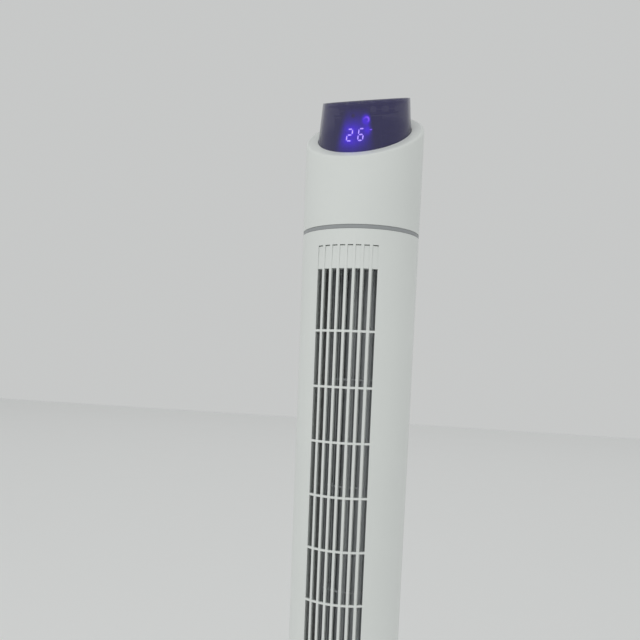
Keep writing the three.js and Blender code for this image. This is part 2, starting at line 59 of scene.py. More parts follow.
# ---- driving sizes, from the frame where it has them ----
RING_TOP = high("trim_ring", Z)
RING_BOTTOM = low("trim_ring", Z)
COLUMN_R = high("trim_ring", X)
COLUMN_BOTTOM = low("front_shell", Z)
RING_OVERLAP = 0.35  # the shells reach this far over each edge of the band
RING_RECESS = 0.35  # and the band lies this far in
COLUMN_TOP = high("front_shell", Z) + RING_OVERLAP
WALL = 2.6
SEAM_Y = high("front_shell", Y)
SEAM_GAP = 0.3

SLOTS = 8
SLOT_PITCH = 8.48
SLOT_WIDTH = 5.7
SLAT_DEPTH = 6.0
RIB_DEPTH = 2.4
RIB_COUNT = 11
RIB_PITCH = 59.74
RIB_HEIGHT = 2.4
FIRST_RIB = RING_TOP - 110.3
SLOT_TOP = RING_TOP - 45.1
POCKET_TOP = RING_TOP - 20.6
POCKET_BACK = 5.0
POCKET_DEPTH = 1.0
POCKET_LIP = 0.3
POCKET_SLIT = 1.0
POCKET_GAP = 0.03  # keeps a ramp off the walls round it
SLOT_BOTTOM = FIRST_RIB - (RIB_COUNT - 1) * RIB_PITCH - (SLOT_TOP - FIRST_RIB)
POCKET_BOTTOM = SLOT_BOTTOM - (POCKET_TOP - SLOT_TOP)

COLLAR_FRONT = RING_TOP + 68.1
COLLAR_SLOPE = 0.65

CROWN_TOP_R = 48.0
CROWN_AXIS_TOP = RING_TOP + 146.3
CROWN_FLARE = 0.085
CROWN_SLOPE = 0.38
CROWN_TILT = math.atan(CROWN_SLOPE)
CROWN_WALL = 2.5
SKIRT_DEPTH = 16.0

DISPLAY_Y = low("led_display", Y)
DISPLAY_Z = (low("led_display", Z) + high("led_display", Z)) / 2

IMPELLER_Y = (low("impeller", Y) + high("impeller", Y)) / 2
IMPELLER_R = (high("impeller", X) - low("impeller", X)) / 2
BLADES = 34
BLADE_RISE = 3.5  # the blades stand above the slots' upper ends
INNER_DISC_INSET = 3
FILM_COLUMNS = 101
# strength of the painted glow on the display film
FILM_GLOW = 3.5


def crown_r(z):
    return CROWN_TOP_R + CROWN_FLARE * (CROWN_AXIS_TOP - z)


def collar_z(y, drop=0.0):
    """Height of the collar's slanted rim plane over a point at depth y."""
    return COLLAR_FRONT + COLLAR_SLOPE * (y + COLUMN_R) - drop


def crown_z(y, drop=0.0):
    """Height of the crown's slanted top plane over a point at depth y."""
    return CROWN_AXIS_TOP + CROWN_SLOPE * y - drop


# ---- materials ----
class Nodes:
    """A Principled material with short calls for the node patterns used below."""

    def __init__(self, name, color, roughness, metallic=0.0):
        self.material = bpy.data.materials.new(name)
        self.material.use_nodes = True
        self.tree = self.material.node_tree
        self.shader = self.tree.nodes["Principled BSDF"]
        self.shader.inputs["Base Color"].default_value = (*color, 1.0)
        self.shader.inputs["Roughness"].default_value = roughness
        self.shader.inputs["Metallic"].default_value = metallic
        self.place = self.tree.nodes.new("ShaderNodeTexCoord").outputs["Object"]
        self.height = None

    def set(self, **values):
        for name, value in values.items():
            self.shader.inputs[name.replace("_", " ")].default_value = value
        return self

    def noise(self, scale, detail=3.0, stretch=(1, 1, 1)):
        """Noise with features about 1/scale metres across, stretched along the axes."""
        node = self.tree.nodes.new("ShaderNodeTexNoise")
        node.inputs["Scale"].default_value = scale
        node.inputs["Detail"].default_value = detail
        mapping = self.tree.nodes.new("ShaderNodeMapping")
        mapping.inputs["Scale"].default_value = stretch
        self.tree.links.new(self.place, mapping.inputs["Vector"])
        self.tree.links.new(mapping.outputs["Vector"], node.inputs["Vector"])
        return node.outputs["Fac"]

    def spread(self, value, lowest, highest):
        """Maps a 0.3 to 0.7 noise value onto lowest to highest."""
        node = self.tree.nodes.new("ShaderNodeMapRange")
        node.inputs["From Min"].default_value = 0.3
        node.inputs["From Max"].default_value = 0.7
        node.inputs["To Min"].default_value = lowest
        node.inputs["To Max"].default_value = highest
        self.tree.links.new(value, node.inputs["Value"])
        return node.outputs["Result"]

    def vary_color(self, value, first, second):
        node = self.tree.nodes.new("ShaderNodeMix")
        node.data_type = "RGBA"
        node.inputs["A"].default_value = (*first, 1.0)
        node.inputs["B"].default_value = (*second, 1.0)
        self.tree.links.new(value, node.inputs["Factor"])
        self.tree.links.new(node.outputs["Result"], self.shader.inputs["Base Color"])
        return self

    def vary_roughness(self, value, lowest, highest):
        self.tree.links.new(self.spread(value, lowest, highest), self.shader.inputs["Roughness"])
        return self

    def bump(self, value, depth, strength=1.0):
        """Adds relief; depth is in metres. Calls stack, one on the other."""
        node = self.tree.nodes.new("ShaderNodeBump")
        node.inputs["Strength"].default_value = strength
        node.inputs["Distance"].default_value = depth
        self.tree.links.new(value, node.inputs["Height"])
        if self.height is not None:
            self.tree.links.new(self.height, node.inputs["Normal"])
        self.height = node.outputs["Normal"]
        self.tree.links.new(self.height, self.shader.inputs["Normal"])
        return self


def moulded(name, first, second, roughness, grain=2600, relief=0.00002):
    """Moulded plastic: a fine spark-eroded grain, slow colour drift and handling marks in the gloss."""
    m = Nodes(name, first, roughness)
    m.vary_color(m.spread(m.noise(9, 2), 0, 1), first, second)
    m.vary_roughness(m.noise(60, 4), roughness - 0.05, roughness + 0.07)
    m.bump(m.noise(7, 1), 0.0004, 0.25)
    m.bump(m.noise(grain, 2), relief, 0.6)
    return m


def brushed_metal(name, color, roughness):
    m = Nodes(name, color, roughness, 1.0)
    m.vary_roughness(m.noise(300, 3, (1, 1, 12)), roughness - 0.08, roughness + 0.12)
    m.bump(m.noise(900, 2, (1, 1, 14)), 0.00001, 0.5)
    return m


WHITE = moulded("white_abs", (0.79, 0.815, 0.795), (0.765, 0.79, 0.77), 0.36).material
TRIM = moulded("grey_trim", (0.35, 0.365, 0.375), (0.33, 0.345, 0.355), 0.42).material
IMPELLER = moulded("impeller_grey", (0.53, 0.55, 0.565), (0.49, 0.51, 0.525), 0.5, 1500).material
DARK = moulded("dark_moulding", (0.022, 0.023, 0.025), (0.03, 0.031, 0.032), 0.5, 1800).material
DUCT = moulded("duct_grey", (0.88, 0.89, 0.88), (0.85, 0.86, 0.85), 0.55, 1500).material
KEY = moulded("key_black", (0.030, 0.030, 0.036), (0.036, 0.036, 0.042), 0.3, 3200).material
NYLON = moulded("natural_nylon", (0.80, 0.77, 0.68), (0.74, 0.71, 0.62), 0.45, 1200).material
BOARD = moulded("dark_board", (0.010, 0.022, 0.014), (0.014, 0.028, 0.018), 0.4, 900).material
RUBBER = moulded("rubber", (0.018, 0.018, 0.018), (0.028, 0.027, 0.026), 0.82, 700, 0.00006).material
STEEL = brushed_metal("zinc_steel", (0.58, 0.59, 0.61), 0.34).material
IRON = moulded("cast_iron", (0.05, 0.05, 0.052), (0.07, 0.068, 0.066), 0.65, 500, 0.0001).material


def smoked(name, alpha):
    m = Nodes(name, (0.052, 0.047, 0.145), 0.07)
    m.vary_roughness(m.noise(40, 4), 0.05, 0.11)
    m.bump(m.noise(14, 1), 0.0002, 0.2)
    m.set(Alpha=alpha, Coat_Weight=0.3, Coat_Roughness=0.03, IOR=1.49)
    return m.material


SMOKED = smoked("smoked_acrylic", 0.62)
PANEL = smoked("smoked_panel", 1.0)


def lamp_and_painted_glow_material(name, color, strength):
    m = Nodes(name, color, 0.35)
    m.vary_roughness(m.noise(400, 2), 0.3, 0.42)
    m.set(Emission_Color=(*color, 1.0), Emission_Strength=strength)
    return m.material


LIT = lamp_and_painted_glow_material("lit_segment", (0.42, 0.30, 1.0), 8.0)
LIT_LAMP = lamp_and_painted_glow_material("lit_mark", (0.24, 0.08, 1.0), 5.0)
# the infrared window is no lamp: its faint red emission is a painted glow
DIM_RED_GLOW = lamp_and_painted_glow_material("ir_window", (0.10, 0.004, 0.012), 0.15)
PRINT = moulded("printed_grey", (0.42, 0.43, 0.45), (0.40, 0.41, 0.43), 0.5).material


# ---- mesh helpers ----
def new_object(name, bm, material, body, smooth=True):
    """Finishes a bmesh as a piece that rides on a body."""
    bmesh.ops.remove_doubles(bm, verts=bm.verts, dist=1e-7)
    bmesh.ops.recalc_face_normals(bm, faces=bm.faces)
    mesh = bpy.data.meshes.new(name)
    bm.to_mesh(mesh)
    bm.free()
    for face in mesh.polygons:
        face.use_smooth = smooth
    mesh.materials.append(material)
    piece = bpy.data.objects.new(name, mesh)
    bpy.context.scene.collection.objects.link(piece)
    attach(piece, body)
    return piece


def bevel(piece, width, segments=2, angle=32):
    """Rounds a piece's sharp edges; width is in millimetres."""
    mod = piece.modifiers.new("rounded_edges", "BEVEL")
    mod.width = width * MM
    mod.segments = segments
    mod.limit_method = "ANGLE"
    mod.angle_limit = math.radians(angle)
    mod.harden_normals = True
    mod.use_clamp_overlap = True
    return piece


def apply_modifiers(piece):
    graph = bpy.context.evaluated_depsgraph_get()
    mesh = bpy.data.meshes.new_from_object(piece.evaluated_get(graph))
    piece.modifiers.clear()
    piece.data = mesh


def cut(piece, cutter_bm):
    """Takes a closed bmesh out of a piece."""
    mesh = bpy.data.meshes.new("cutter")
    bmesh.ops.recalc_face_normals(cutter_bm, faces=cutter_bm.faces)
    cutter_bm.to_mesh(mesh)
    cutter_bm.free()
    cutter = bpy.data.objects.new("cutter", mesh)
    bpy.context.scene.collection.objects.link(cutter)
    mod = piece.modifiers.new("cut", "BOOLEAN")
    mod.operation = "DIFFERENCE"
    mod.solver = "EXACT"
    mod.object = cutter
    apply_modifiers(piece)
    bpy.data.objects.remove(cutter)
    bpy.data.meshes.remove(mesh)


def fillet(points, radii, steps=4):
    """Rounds the corners of a closed outline; one radius for each point."""
    rounded = []
    count = len(points)
    for i, radius in enumerate(radii):
        here = Vector(points[i])
        if radius == 0:
            rounded.append(tuple(here))
            continue
        before = (Vector(points[i - 1]) - here).normalized()
        after = (Vector(points[(i + 1) % count]) - here).normalized()
        half = math.acos(max(-1.0, min(1.0, before.dot(after)))) / 2
        reach = radius / math.tan(half)
        centre = here + (before + after).normalized() * (radius / math.sin(half))
        start = here + before * reach - centre
        end = here + after * reach - centre
        sweep = start.angle_signed(end) if len(start) == 2 else 0
        for k in range(steps + 1):
            a = -sweep * k / steps
            x = start.x * math.cos(a) - start.y * math.sin(a)
            y = start.x * math.sin(a) + start.y * math.cos(a)
            rounded.append((centre.x + x, centre.y + y))
    return rounded


def revolve_bm(profile_at, sides=128, closed=True, centre=(0.0, 0.0)):
    """Turns a profile about an upright axis. profile_at(azimuth) gives [(radius, height), ...]; azimuth 0
    faces -Y."""
    bm = bmesh.new()
    rings = []
    for i in range(sides):
        a = 2 * math.pi * i / sides
        ring = []
        for r, z in profile_at(a):
            ring.append(bm.verts.new(((centre[0] + r * math.sin(a)) * MM, (centre[1] - r * math.cos(a)) * MM,
                                      z * MM)))
        rings.append(ring)
    count = len(rings[0])
    for i in range(sides):
        one, two = rings[i], rings[(i + 1) % sides]
        for k in range(count if closed else count - 1):
            n = (k + 1) % count
            bm.faces.new((one[k], two[k], two[n], one[n]))
    return bm


def turned(name, profile, material, body, sides=128, centre=(0.0, 0.0), closed=True):
    """A turned piece; a profile that isn't closed starts and ends on the axis."""
    bm = revolve_bm(lambda a: profile, sides, closed, centre)
    piece = new_object(name, bm, material, body)
    return piece


def layered_shell(columns, heights, levels, cell):
    """A curved wall on a grid. columns.at(i, r) gives the x and y of column line i at radius r, heights
    are the row lines, levels[k] is the radius of layer k from outside in, and cell(i, j) gives the first
    and last level of the material between lines i, i+1 and rows j, j+1, or None where the wall is
    open."""
    bm = bmesh.new()
    count_i = columns.count
    found = {}

    def vert(i, j, k):
        key = (i, j, k)
        if key not in found:
            x, y = columns.at(i, levels[k])
            found[key] = bm.verts.new((x * MM, y * MM, heights[j] * MM))
        return found[key]

    def filled(i, j, k):
        if not (0 <= i < count_i - 1 and 0 <= j < len(heights) - 1):
            return False
        span = cell(i, j)
        return span is not None and span[0] <= k < span[1]

    for i in range(count_i - 1):
        for j in range(len(heights) - 1):
            span = cell(i, j)
            if span is None:
                continue
            first, last = span
            bm.faces.new((vert(i, j, first), vert(i + 1, j, first), vert(i + 1, j + 1, first),
                          vert(i, j + 1, first)))
            bm.faces.new((vert(i, j, last), vert(i, j + 1, last), vert(i + 1, j + 1, last),
                          vert(i + 1, j, last)))
            for k in range(first, last):
                if not filled(i - 1, j, k):
                    bm.faces.new((vert(i, j, k), vert(i, j + 1, k), vert(i, j + 1, k + 1), vert(i, j, k + 1)))
                if not filled(i + 1, j, k):
                    bm.faces.new((vert(i + 1, j, k), vert(i + 1, j, k + 1), vert(i + 1, j + 1, k + 1),
                                  vert(i + 1, j + 1, k)))
                if not filled(i, j - 1, k):
                    bm.faces.new((vert(i, j, k), vert(i, j, k + 1), vert(i + 1, j, k + 1), vert(i + 1, j, k)))
                if not filled(i, j + 1, k):
                    bm.faces.new((vert(i, j + 1, k), vert(i + 1, j + 1, k), vert(i + 1, j + 1, k + 1),
                                  vert(i, j + 1, k + 1)))
    return bm


class ColumnLines:
    """Upright lines round the column: ('x', x) keeps x at every radius, ('y', y, side) keeps y, ('a',
    degrees) keeps the azimuth from the front, positive towards +X."""

    def __init__(self, lines):
        self.lines = lines
        self.count = len(lines)

    def at(self, i, r):
        kind = self.lines[i][0]
        value = self.lines[i][1]
        if kind == "x":
            return value, -math.sqrt(r * r - value * value)
        if kind == "y":
            return self.lines[i][2] * math.sqrt(r * r - value * value), value
        a = math.radians(value)
        return r * math.sin(a), -r * math.cos(a)


def box_bm(size, centre):
    bm = bmesh.new()
    bmesh.ops.create_cube(bm, size=1.0)
    for v in bm.verts:
        v.co = Vector([(centre[i] + v.co[i] * size[i]) * MM for i in range(3)])
    return bm


def prism_bm(outline, z0, z1, matrix=Matrix.Identity(4)):
    """A closed outline in its own plane, raised from z0 to z1, then moved by a matrix in millimetres."""
    bm = bmesh.new()
    lower = [bm.verts.new(matrix @ Vector((x, y, z0)) * MM) for x, y in outline]
    upper = [bm.verts.new(matrix @ Vector((x, y, z1)) * MM) for x, y in outline]
    bm.faces.new(lower[::-1])
    bm.faces.new(upper)
    count = len(outline)
    for i in range(count):
        n = (i + 1) % count
        bm.faces.new((lower[i], lower[n], upper[n], upper[i]))
    return bm


def joined(parts):
    """One bmesh from several."""
    whole = bmesh.new()
    for part in parts:
        mesh = bpy.data.meshes.new("part")
        part.to_mesh(mesh)
        part.free()
        whole.from_mesh(mesh)
        bpy.data.meshes.remove(mesh)
    return whole


# ---- column ----
def pocket_ramp(left, right, deep_z, open_z):
    """The floor of a blind pocket: sunk at its closed end, nearly flush where the open slot starts."""
    bm = bmesh.new()
    back = POCKET_BACK - POCKET_GAP
    loops = []
    for x in (left + POCKET_GAP, right - POCKET_GAP):
        corners = []
        for z, depth in ((deep_z, back), (deep_z, POCKET_DEPTH), (open_z, POCKET_LIP), (open_z, back)):
            r = COLUMN_R - depth
            corners.append(bm.verts.new((x * MM, -math.sqrt(r * r - x * x) * MM, z * MM)))
        loops.append(corners)
    bm.faces.new(loops[0])
    bm.faces.new(loops[1][::-1])
    for k in range(4):
        n = (k + 1) % 4
        bm.faces.new((loops[0][k], loops[1][k], loops[1][n], loops[0][n]))
    return bm


def front_shell():
    """The front half of the column, with the slatted outlet."""
    edges = []
    for i in range(SLOTS):
        x = (i - (SLOTS - 1) / 2) * SLOT_PITCH
        edges += [x - SLOT_WIDTH / 2, x + SLOT_WIDTH / 2]
    half = SLOTS * SLOT_PITCH / 2
    lines = [("y", SEAM_Y, -1)]
    side = [a for a in range(-108, -32, 3)]
    lines += [("a", a) for a in side]
    lines.append(("x", -half))
    first_slot = len(lines)
    lines += [("x", x) for x in edges]
    lines.append(("x", half))
    lines += [("a", -a) for a in reversed(side)]
    lines.append(("y", SEAM_Y, 1))
    slot_lines = {first_slot + 2 * i for i in range(SLOTS)}
    field = range(first_slot - 1, first_slot + 2 * SLOTS)

    heights = [COLUMN_BOTTOM, COLUMN_BOTTOM + 20, POCKET_BOTTOM - 4, POCKET_BOTTOM, SLOT_BOTTOM]
    for i in reversed(range(RIB_COUNT)):
        z = FIRST_RIB - i * RIB_PITCH
        heights += [z - RIB_HEIGHT / 2, z + RIB_HEIGHT / 2]
    heights += [SLOT_TOP, POCKET_TOP, POCKET_TOP + 4, COLUMN_TOP]
    levels = [COLUMN_R, COLUMN_R - RIB_DEPTH, COLUMN_R - WALL, COLUMN_R - POCKET_BACK, COLUMN_R - SLAT_DEPTH]

    def cell(i, j):
        middle = (heights[j] + heights[j + 1]) / 2
        if i not in field or not POCKET_BOTTOM - 4 < middle < POCKET_TOP + 4:
            return (0, 2)
        if i not in slot_lines or not POCKET_BOTTOM < middle < POCKET_TOP:
            return (0, 4)
        if middle > SLOT_TOP or middle < SLOT_BOTTOM:
            return (3, 4)
        is_rib = heights[j + 1] - heights[j] < RIB_HEIGHT + 0.1
        return (0, 1) if is_rib else None

    parts = [layered_shell(ColumnLines(lines), heights, levels, cell)]
    for left, right in zip(edges[::2], edges[1::2]):
        parts.append(pocket_ramp(left, right, POCKET_TOP - POCKET_SLIT, SLOT_TOP))
        parts.append(pocket_ramp(left, right, POCKET_BOTTOM + POCKET_SLIT, SLOT_BOTTOM))
    piece = new_object("front_panel", joined(parts), WHITE, "column")
    bevel(piece, 0.35)
    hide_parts("front_shell")


INTAKE_COLUMNS = 9
INTAKE_STEP = 10
INTAKE_ROWS = 5
INTAKE_ROW_PITCH = 140
INTAKE_BOTTOM = 150
INTAKE_HALF_WIDTH = 3
INTAKE_BAR = 1.6
INTAKE_BAR_PITCH = 11


def rear_shell():
    """The rear half of the column, with the intake: upright slots crossed by set-back bars."""
    half = math.degrees(INTAKE_HALF_WIDTH / COLUMN_R)
    middle = [180 + (i - (INTAKE_COLUMNS - 1) / 2) * INTAKE_STEP for i in range(INTAKE_COLUMNS)]
    edges = []
    for a in middle:
        edges += [a - half, a + half]
    seam = SEAM_Y + SEAM_GAP
    lines = [("y", seam, 1)] + [("a", a) for a in range(113, 134, 3)]
    first_slot = len(lines)
    lines += [("a", a) for a in edges]
    lines += [("a", a) for a in range(227, 248, 3)] + [("y", seam, -1)]
    slot_lines = {first_slot + 2 * i for i in range(INTAKE_COLUMNS)}

    heights = [COLUMN_BOTTOM]
    kinds = ["solid"]
    for row in range(INTAKE_ROWS):
        start = INTAKE_BOTTOM + row * INTAKE_ROW_PITCH
        end = start + INTAKE_ROW_PITCH - 8
        bars = int((end - start) / INTAKE_BAR_PITCH)
        step = (end - start + INTAKE_BAR) / bars
        for k in range(bars):
            heights.append(start + k * step)
            kinds.append("open")
            if k < bars - 1:
                heights.append(start + (k + 1) * step - INTAKE_BAR)
                kinds.append("bar")
        heights.append(end)
        kinds.append("solid")
    heights.append(COLUMN_TOP)
    levels = [COLUMN_R, COLUMN_R - 0.9, COLUMN_R - WALL]

    def cell(i, j):
        if i not in slot_lines or kinds[j] == "solid":
            return (0, 2)
        return (1, 2) if kinds[j] == "bar" else None

    bm = layered_shell(ColumnLines(lines), heights, levels, cell)
    piece = new_object("rear_panel", bm, WHITE, "column")
    for i in range(1, 5):
        lowest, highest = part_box(f"shell_screw_{i}")
        z = (lowest[Z] + highest[Z]) / 2 / MM
        out = Vector((lowest[X] + highest[X], lowest[Y] + highest[Y], 0)).normalized()
        hole = bmesh.new()
        bmesh.ops.create_cone(hole, cap_ends=True, segments=40, radius1=4.3 * MM, radius2=4.3 * MM,
                              depth=12 * MM)
        turn = Vector((0, 0, 1)).rotation_difference(out).to_matrix().to_4x4()
        bmesh.ops.transform(hole,
                            matrix=Matrix.Translation(out * COLUMN_R * MM + Vector((0, 0, z * MM))) @ turn,
                            verts=hole.verts)
        cut(piece, hole)
    bevel(piece, 0.3)
    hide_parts("rear_shell")


def trim_ring():
    """The grey band, set in a little between the edges of the shells and of the head, which overlap it."""
    core = COLUMN_R - WALL - 0.2
    face = COLUMN_R - RING_RECESS
    bottom, top = RING_BOTTOM + RING_OVERLAP, RING_TOP - RING_OVERLAP
    outline = [(59.5, RING_BOTTOM), (core, RING_BOTTOM), (core, bottom), (face, bottom), (face, top),
               (core, top),
               (core, RING_TOP), (59.5, RING_TOP)]
    piece = turned("ring_band", fillet(outline, (0.2, 0, 0, 0.2, 0.2, 0, 0, 0.2)), TRIM, "column",
                   192)
    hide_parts("trim_ring")


def head_housing():
    """The white head: a column wall and a slanted top with a rounded rim, through which the crown stands."""
    bottom = low("head_housing", Z) - RING_OVERLAP

    def profile(a):
        def on_plane(r, drop):
            return r, collar_z(-r * math.cos(a), drop)

        mouth_r = crown_r(collar_z(-CROWN_TOP_R * math.cos(a))) + SEAM_GAP
        points = [
            (COLUMN_R - WALL, bottom),
            (COLUMN_R, bottom),
            on_plane(COLUMN_R, 0),
            on_plane(mouth_r, 0),
            on_plane(mouth_r, WALL),
            on_plane(COLUMN_R - WALL, WALL),
        ]
        return fillet(points, (0.2, 0.3, 4.0, 0.3, 0.2, 0.5), 7)

    piece = new_object("head_cover", revolve_bm(profile, 256), WHITE, "column")
    lowest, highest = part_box("handle_cup")
    size = [(highest[k] - lowest[k]) / MM + 2 * SEAM_GAP for k in range(3)]
    middle = [(highest[k] + lowest[k]) / 2 / MM for k in range(3)]
    size[Y] += 20
    middle[Y] += 10
    outline = fillet([(-size[X] / 2, -size[Z] / 2), (size[X] / 2, -size[Z] / 2), (size[X] / 2, size[Z] / 2),
                      (-size[X] / 2, size[Z] / 2)], (5.3,) * 4, 6)
    upright = Matrix.Translation(middle) @ Matrix.Rotation(math.radians(90), 4, "X")
    cut(piece, prism_bm(outline, -size[Y] / 2, size[Y] / 2, upright))
    bevel(piece, 0.3)
    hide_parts("head_housing")


def handle_cup():
    """The hand grip: a rounded tub whose rim lies flush with the head."""
    lowest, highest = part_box("handle_cup")
    half_x = highest[X] / MM
    z0, z1 = lowest[Z] / MM, highest[Z] / MM
    floor_y = lowest[Y] / MM
    middle_z = (z0 + z1) / 2
    half_z = (z1 - z0) / 2
    wall = 2.0

    def ring(inset, radius, depth):
        hx, hz = half_x - inset, half_z - inset
        outline = fillet([(-hx, -hz), (hx, -hz), (hx, hz), (-hx, hz)], (radius,) * 4, 6)
        points = []
        for (x0, lower), (x1, upper) in zip(outline, outline[1:] + outline[:1]):
            steps = 24 if abs(x1 - x0) > half_x else 1
            for k in range(steps):
                x = x0 + (x1 - x0) * k / steps
                surface = math.sqrt(COLUMN_R * COLUMN_R - x * x)
                y = surface if depth is None else depth
                points.append((x, y, middle_z + lower + (upper - lower) * k / steps))
        return points

    rings = [
        ring(4.5, 2.0, floor_y),
        ring(0.6, 4.8, floor_y + 0.6),
        ring(0, 5.0, floor_y + 3),
        ring(0, 5.0, None),
        ring(0.5, 4.6, None),
        ring(wall - 0.4, 3.6, None),
    ]
    lip = [(x, y - 0.5, z) for x, y, z in ring(wall, 3.2, None)]
    rings += [lip, ring(wall, 3.2, floor_y + 5), ring(wall + 0.8, 2.8, floor_y + wall + 0.6),
              ring(wall + 3, 1.5, floor_y + wall)]
    bm = bmesh.new()
    loops = [[bm.verts.new((x * MM, y * MM, z * MM)) for x, y, z in one] for one in rings]
    for one, two in zip(loops, loops[1:]):
        for i in range(len(one)):
            n = (i + 1) % len(one)
            bm.faces.new((one[i], one[n], two[n], two[i]))
    bm.faces.new(loops[0])
    bm.faces.new(loops[-1])
    piece = new_object("hand_grip", bm, WHITE, "column")
    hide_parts("handle_cup")


# ---- crown ----
def crown_lens():
    """The smoked shield: a flared wall between the two slanted planes, open at the top for the key panel."""

    def profile(a):
        def at(plane, inset, drop):
            # the plane's height over this azimuth where the flared wall meets it
            z = CROWN_AXIS_TOP
            for _ in range(6):
                z = plane(-(crown_r(z) - inset) * math.cos(a), drop)
            return crown_r(z) - inset, z

        points = [
            at(collar_z, CROWN_WALL, SKIRT_DEPTH),
            at(collar_z, 0, SKIRT_DEPTH),
            at(crown_z, 0, 0),
            at(crown_z, CROWN_WALL, 0),
        ]
        return fillet(points, (0.3, 0.3, 0.8, 0.5), 4)

    piece = new_object("crown_shield", revolve_bm(profile, 256), SMOKED, "column")
    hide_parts("crown_lens")


def key_outline(inset, steps=14):
    """A lozenge with round ends, long across the fan's depth."""
    width, length = 10, 17
    r = width / 2 - inset
    reach = (length - width) / 2
    points = []
    for start, side in ((0, 1), (math.pi, -1)):
        for i in range(steps + 1):
            a = start + i * math.pi / steps
            points.append((r * math.cos(a), side * reach + r * math.sin(a)))
    return points


KEYS = ("key_power", "key_speed", "key_mode", "key_timer", "key_swing")
KEY_PITCH = 14
ON_CROWN = Matrix.Translation((0, 0, CROWN_AXIS_TOP)) @ Matrix.Rotation(CROWN_TILT, 4, "X")


def key_x(i):
    return (i - (len(KEYS) - 1) / 2) * KEY_PITCH


def key_panel():
    """The crown's top face: a smoked plate with a hole for each key, flush inside the shield's rim."""
    drop, thick = 2.4, 2.4

    def profile(a):
        def at(inset, depth):
            z = CROWN_AXIS_TOP
            for _ in range(6):
                z = crown_z(-(crown_r(z) - inset) * math.cos(a), depth)
            return crown_r(z) - inset, z

        edge = CROWN_WALL + SEAM_GAP
        return [(0, crown_z(0, drop + thick)), at(edge, drop + thick), at(edge, drop + 0.3),
                at(edge + 0.3, drop),
                (0, crown_z(0, drop))]

    piece = new_object("crown_top", revolve_bm(profile, 192, False), PANEL, "column",
                       smooth=False)
    for i in range(len(KEYS)):
        cut(piece, prism_bm(key_outline(-0.35), -9, 3, ON_CROWN @ Matrix.Translation((key_x(i), 0, 0))))
    bevel(piece, 0.15)
    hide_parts("key_panel")


def key_caps():
    """Five push keys, each with a dished top and a printed sign."""
    for i, name in enumerate(KEYS):
        place = ON_CROWN @ Matrix.Translation((key_x(i), 0, 0))
        layers = [(2.2, -9.0), (2.2, -6.6), (-0.9, -6.4), (-0.9, -5.4), (0, -5.2), (0, -2.1), (0.12, -1.6),
                  (0.5, -1.25), (1.2, -1.2), (2.6, -1.45)]
        bm = bmesh.new()
        loops = []
        for inset, z in layers:
            loops.append([bm.verts.new(place @ Vector((x, y, z)) * MM) for x, y in key_outline(inset)])
        for one, two in zip(loops, loops[1:]):
            for k in range(len(one)):
                n = (k + 1) % len(one)
                bm.faces.new((one[k], one[n], two[n], two[k]))
        bm.faces.new(loops[0])
        bm.faces.new(loops[-1])
        cap = new_object(name + "_cap", bm, KEY, name)
        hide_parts(name)
        new_object(name + "_sign", key_sign(i, place), PRINT, name, smooth=False)


def stroke_bm(points, width, z0, z1, place, closed=False):
    """A flat printed line of even width along some points."""
    bm = bmesh.new()
    count = len(points)
    left, right = [], []
    for i in range(count):
        before = Vector(points[i - 1] if i > 0 or closed else points[i])
        after = Vector(points[(i + 1) % count] if i < count - 1 or closed else points[i])
        along = (after - before).normalized()
        across = Vector((-along.y, along.x)) * width / 2
        here = Vector(points[i])
        left.append(here + across)
        right.append(here - across)
    rows = []
    for a, b in zip(left, right):
        rows.append([bm.verts.new(place @ Vector((p.x, p.y, z)) * MM)
                     for p, z in ((a, z0), (b, z0), (b, z1), (a, z1))])
    last = count if closed else count - 1
    for i in range(last):
        one, two = rows[i], rows[(i + 1) % count]
        for k in range(4):
            n = (k + 1) % 4
            bm.faces.new((one[k], one[n], two[n], two[k]))
    if not closed:
        bm.faces.new(rows[0])
        bm.faces.new(rows[-1][::-1])
    return bm


def arc(radius, start, end, steps=16, centre=(0, 0)):
    points = []
    for i in range(steps + 1):
        a = math.radians(start + (end - start) * i / steps)
        points.append((centre[0] + radius * math.cos(a), centre[1] + radius * math.sin(a)))
    return points


def key_sign(i, place):
    """Plain generic signs: power, three bars, a wave, a clock and two arrows."""
    z0, z1 = -1.47, -1.40
    line = 0.45

    def draw(points, closed=False):
        return stroke_bm(points, line, z0, z1, place, closed)

    if i == 0:
        return joined([draw(arc(1.7, 125, 415)), draw([(0, 0.4), (0, 2.3)])])
    if i == 1:
        return joined([draw([(x, -1.6), (x, -1.6 + h)]) for x, h in ((-1.3, 1.1), (0, 2.1), (1.3, 3.2))])
    if i == 2:
        wave = [(-1.9 + 0.2 * k, 0.8 * math.sin(k * math.pi / 5)) for k in range(20)]
        return joined([draw([(x, y + 0.9) for x, y in wave]), draw([(x, y - 0.9) for x, y in wave])])
    if i == 3:
        return joined([draw(arc(1.8, 0, 345), True), draw([(0, 1.2), (0, 0), (0.9, -0.4)])])
    tips = []
    for side in (-1, 1):
        tips.append(draw([(side * 1.1, 0.9), (side * 2.0, 0), (side * 1.1, -0.9)]))
    return joined(tips + [draw([(-1.7, 0), (1.7, 0)])])


# ---- display ----
SEGMENTS = {
    "a": ((0, 1), (1, 1)), "b": ((1, 1), (1, 0.5)), "c": ((1, 0.5), (1, 0)), "d": ((0, 0), (1, 0)),
    "e": ((0, 0.5), (0, 0)), "f": ((0, 1), (0, 0.5)), "g": ((0, 0.5), (1, 0.5)),
}
DIGITS = {"2": "abged", "6": "afgedc"}
DIGIT_WIDTH = 5.3
DIGIT_HEIGHT = 11.8
DIGIT_SLANT = 0.12
STROKE = 1.15
DIGIT_X = {"2": -6.6, "6": 5.6}
# weight of the painted glow on the display film round each digit
DIGIT_GLOW = {"2": 1.0, "6": 0.42}


def digit_point(digit, u, v):
    """A point of a digit's skeleton on the display's face."""
    x = DIGIT_X[digit] + (u - 0.5) * DIGIT_WIDTH + DIGIT_SLANT * (v - 0.5) * DIGIT_HEIGHT
    return Vector((x, DISPLAY_Z + (v - 0.5) * DIGIT_HEIGHT))


